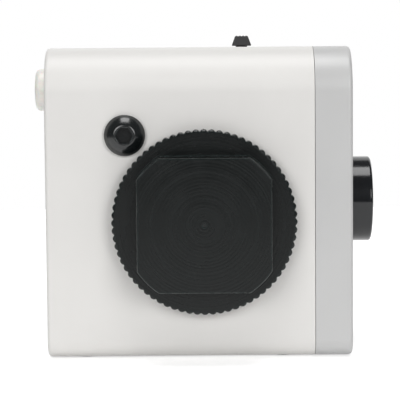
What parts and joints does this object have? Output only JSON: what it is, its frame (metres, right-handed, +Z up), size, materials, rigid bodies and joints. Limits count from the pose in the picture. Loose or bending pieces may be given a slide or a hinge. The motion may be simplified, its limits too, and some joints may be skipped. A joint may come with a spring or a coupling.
{
  "type": "pan tilt camera mount",
  "caption": "White box-shaped motorised camera head with a knurled, square-flatted turntable on its front face, a lock screw, a dial, a push button and a slide switch.",
  "frame": {"origin": "middle of the overall box in plan, on the plane that the rubber feet stand on", "axes": "+X towards the grey end cover and the dial, -Y out of the front face along the turntable axis, +Z up towards the slide switch"},
  "size_m": [0.091, 0.072, 0.0833],
  "materials": {
    "white_plastic": "satin white moulded plastic",
    "grey_plastic": "satin light grey moulded plastic",
    "black_anodised": "black anodised, turned and milled",
    "black_oxide_steel": "black oxide",
    "black_gloss_plastic": "polished black",
    "black_plastic": "moulded black",
    "steel": "bright zinc plated or ground",
    "aluminium": "machined, bare",
    "brass": "turned brass",
    "rubber": "moulded black rubber",
    "nylon": "natural nylon",
    "foam_tape": "thin foam adhesive tape",
    "circuit_board": "green solder mask",
    "battery_film": "shrink film"
  },
  "bodies": {
    "case": {"back_tripod_bush": "brass", "base_tripod_bush": "brass", "battery": "battery_film", "battery_tape": "foam_tape", "bearing_housing": "aluminium", "board_screw_1": "steel", "board_screw_2": "steel", "bracket_screw_1": "steel", "bracket_screw_2": "steel", "bracket_screw_3": "steel", "brake_arm": "steel", "brake_arm_screw": "steel", "brake_pad": "nylon", "button_board": "circuit_board", "button_switch": "black_plastic", "dial_encoder": "black_plastic", "encoder_nut": "brass", "end_cover": "grey_plastic", "end_cover_screw_1": "steel", "end_cover_screw_2": "steel", "end_cover_screw_3": "steel", "end_cover_screw_4": "steel", "foot_1": "rubber", "foot_2": "rubber", "foot_3": "rubber", "foot_4": "rubber", "front_bearing_outer_race": "steel", "gearbox": "aluminium", "housing_screw_1": "steel", "housing_screw_2": "steel", "housing_screw_3": "steel", "lock_screw_insert": "brass", "main_board": "circuit_board", "main_shell": "white_plastic", "motor": "steel", "motor_bracket": "steel", "motor_screw_1": "steel", "motor_screw_2": "steel", "rear_bearing_outer_race": "steel", "slide_switch_body": "black_plastic", "slip_washer": "nylon", "usb_inlet": "steel"},
    "turntable": {"turntable": "black_anodised", "output_shaft": "steel", "bearing_spacer": "aluminium", "front_bearing_inner_race": "steel", "rear_bearing_inner_race": "steel", "output_gear": "steel", "shaft_circlip": "steel"},
    "pinion": {"drive_pinion": "brass", "pinion_shaft": "steel"},
    "bearing_balls": {"front_bearing_ball_cage": "steel", "rear_bearing_ball_cage": "steel"},
    "lock_screw": {"lock_screw": "black_oxide_steel"},
    "speed_dial": {"speed_dial": "black_gloss_plastic", "encoder_shaft": "nylon"},
    "power_button": {"power_button": "white_plastic"},
    "slide_switch": {"slide_switch_cap": "black_gloss_plastic"}
  },
  "joints": [
    {"name": "turntable_spin", "type": "hinge", "parent": "case", "child": "turntable", "pos_m": [0.0001, -0.022, 0.0359], "axis": [0, 1, 0], "continuous": true},
    {"name": "pinion_spin", "type": "hinge", "parent": "case", "child": "pinion", "pos_m": [0.01919, -0.022, 0.05499], "axis": [0, 1, 0], "continuous": true},
    {"name": "bearing_roll", "type": "hinge", "parent": "case", "child": "bearing_balls", "pos_m": [0.0001, -0.022, 0.0359], "axis": [0, 1, 0], "continuous": true},
    {"name": "lock_screw_turn", "type": "hinge", "parent": "case", "child": "lock_screw", "pos_m": [-0.0201, -0.022, 0.058], "axis": [0, 1, 0], "range_deg": [-180, 0]},
    {"name": "speed_dial_turn", "type": "hinge", "parent": "case", "child": "speed_dial", "pos_m": [0.0383, 0.007, 0.0389], "axis": [1, 0, 0], "range_deg": [-150, 150]},
    {"name": "power_button_press", "type": "slide", "parent": "case", "child": "power_button", "axis": [1, 0, 0], "range_m": [0, 0.001], "stiffness_N_per_m": 900, "springref_m": -0.0004},
    {"name": "slide_switch_move", "type": "slide", "parent": "case", "child": "slide_switch", "axis": [1, 0, 0], "range_m": [-0.004, 0]}
  ],
  "couplings": [
    {"joint": "pinion_spin", "follows": "turntable_spin", "ratio": -3},
    {"joint": "bearing_roll", "follows": "turntable_spin", "ratio": 0.459}
  ]
}
